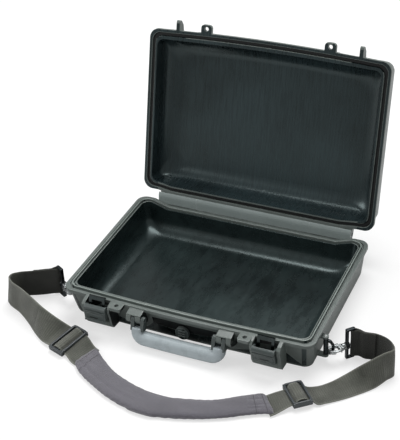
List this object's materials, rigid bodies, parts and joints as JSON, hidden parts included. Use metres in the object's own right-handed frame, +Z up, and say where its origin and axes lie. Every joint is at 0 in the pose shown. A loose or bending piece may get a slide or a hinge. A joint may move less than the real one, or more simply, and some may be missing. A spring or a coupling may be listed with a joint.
{
  "type": "laptop_hard_case",
  "caption": "Hard shell case for a laptop, standing open: hinged lid with gasket, two claw latches, folding handle, valve, shoulder strap with pad.",
  "frame": {"origin": "middle of the face that the lower shell rests on, halfway across its width and halfway between the straight rear rim edge and the corners of the front rim edge", "axes": "X to the right seen from the front, Y to the back, Z up"},
  "size_m": [0.6519, 0.5918, 0.3656],
  "materials": {
    "shell_plastic": "fine moulded grain, satin",
    "seal_rubber": "soft",
    "pin_steel": "drawn",
    "latch_plastic": "satin",
    "claw_steel": "satin",
    "grip_rubber": "soft, pale",
    "strap_plastic": "satin",
    "strap_metal": "dark, satin",
    "strap_webbing": "woven",
    "pad_fabric": "woven cover over foam"
  },
  "bodies": {
    "case": {"base_shell": "shell_plastic", "hinge_pin": "pin_steel", "lever_pins_left": "pin_steel", "lever_pins_right": "pin_steel", "handle_pins": "pin_steel", "valve_body": "latch_plastic", "valve_cap": "latch_plastic", "valve_seal": "seal_rubber", "valve_nut": "latch_plastic", "strap_plate_left": "strap_plastic", "strap_plate_right": "strap_plastic", "strap_plate_pin_left": "pin_steel", "strap_plate_pin_right": "pin_steel", "snap_hook_left": "strap_metal", "snap_hook_right": "strap_metal", "gate_pin_left": "pin_steel", "gate_pin_right": "pin_steel", "swivel_loop_left": "strap_metal", "swivel_loop_right": "strap_metal", "webbing_left": "strap_webbing", "webbing_right": "strap_webbing", "slider_left": "strap_plastic", "slider_right": "strap_plastic", "shoulder_pad": "pad_fabric"},
    "lid": {"lid_shell": "shell_plastic", "lid_gasket": "seal_rubber"},
    "lever_left": {"latch_lever_left": "latch_plastic", "claw_pin_left": "pin_steel"},
    "lever_right": {"latch_lever_right": "latch_plastic", "claw_pin_right": "pin_steel"},
    "claw_left": {"latch_claw_left": "claw_steel"},
    "claw_right": {"latch_claw_right": "claw_steel"},
    "handle": {"handle_frame": "latch_plastic", "handle_grip": "grip_rubber"},
    "gate_left": {"snap_gate_left": "strap_metal"},
    "gate_right": {"snap_gate_right": "strap_metal"}
  },
  "joints": [
    {"name": "lid_hinge", "type": "hinge", "parent": "case", "child": "lid", "pos_m": [0, 0.1545, 0.06], "axis": [1, 0, 0], "range_deg": [0, 105]},
    {"name": "lever_left_pivot", "type": "hinge", "parent": "case", "child": "lever_left", "pos_m": [-0.1425, -0.158, 0.049], "axis": [1, 0, 0], "range_deg": [-7, 35]},
    {"name": "lever_right_pivot", "type": "hinge", "parent": "case", "child": "lever_right", "pos_m": [0.1425, -0.158, 0.049], "axis": [1, 0, 0], "range_deg": [-24, 18]},
    {"name": "claw_left_pivot", "type": "hinge", "parent": "lever_left", "child": "claw_left", "pos_m": [-0.1425, -0.1621, 0.03966], "axis": [1, 0, 0], "range_deg": [-35, 7]},
    {"name": "claw_right_pivot", "type": "hinge", "parent": "lever_right", "child": "claw_right", "pos_m": [0.1425, -0.15919, 0.03887], "axis": [1, 0, 0], "range_deg": [-18, 24]},
    {"name": "handle_swing", "type": "hinge", "parent": "case", "child": "handle", "pos_m": [0, -0.159, 0.046], "axis": [1, 0, 0], "range_deg": [-90, 0]},
    {"name": "gate_left_pivot", "type": "hinge", "parent": "case", "child": "gate_left", "pos_m": [-0.23316, -0.10886, 0.025], "axis": [0, 0, 1], "range_deg": [0, 20], "stiffness_Nm_per_rad": 0.02, "springref_deg": -8.59},
    {"name": "gate_right_pivot", "type": "hinge", "parent": "case", "child": "gate_right", "pos_m": [0.24123, -0.09516, 0.025], "axis": [0, 0, 1], "range_deg": [-20, 0], "stiffness_Nm_per_rad": 0.02, "springref_deg": 8.59}
  ],
  "couplings": [
    {"joint": "claw_left_pivot", "follows": "lever_left_pivot", "ratio": -1},
    {"joint": "claw_right_pivot", "follows": "lever_right_pivot", "ratio": -1}
  ]
}
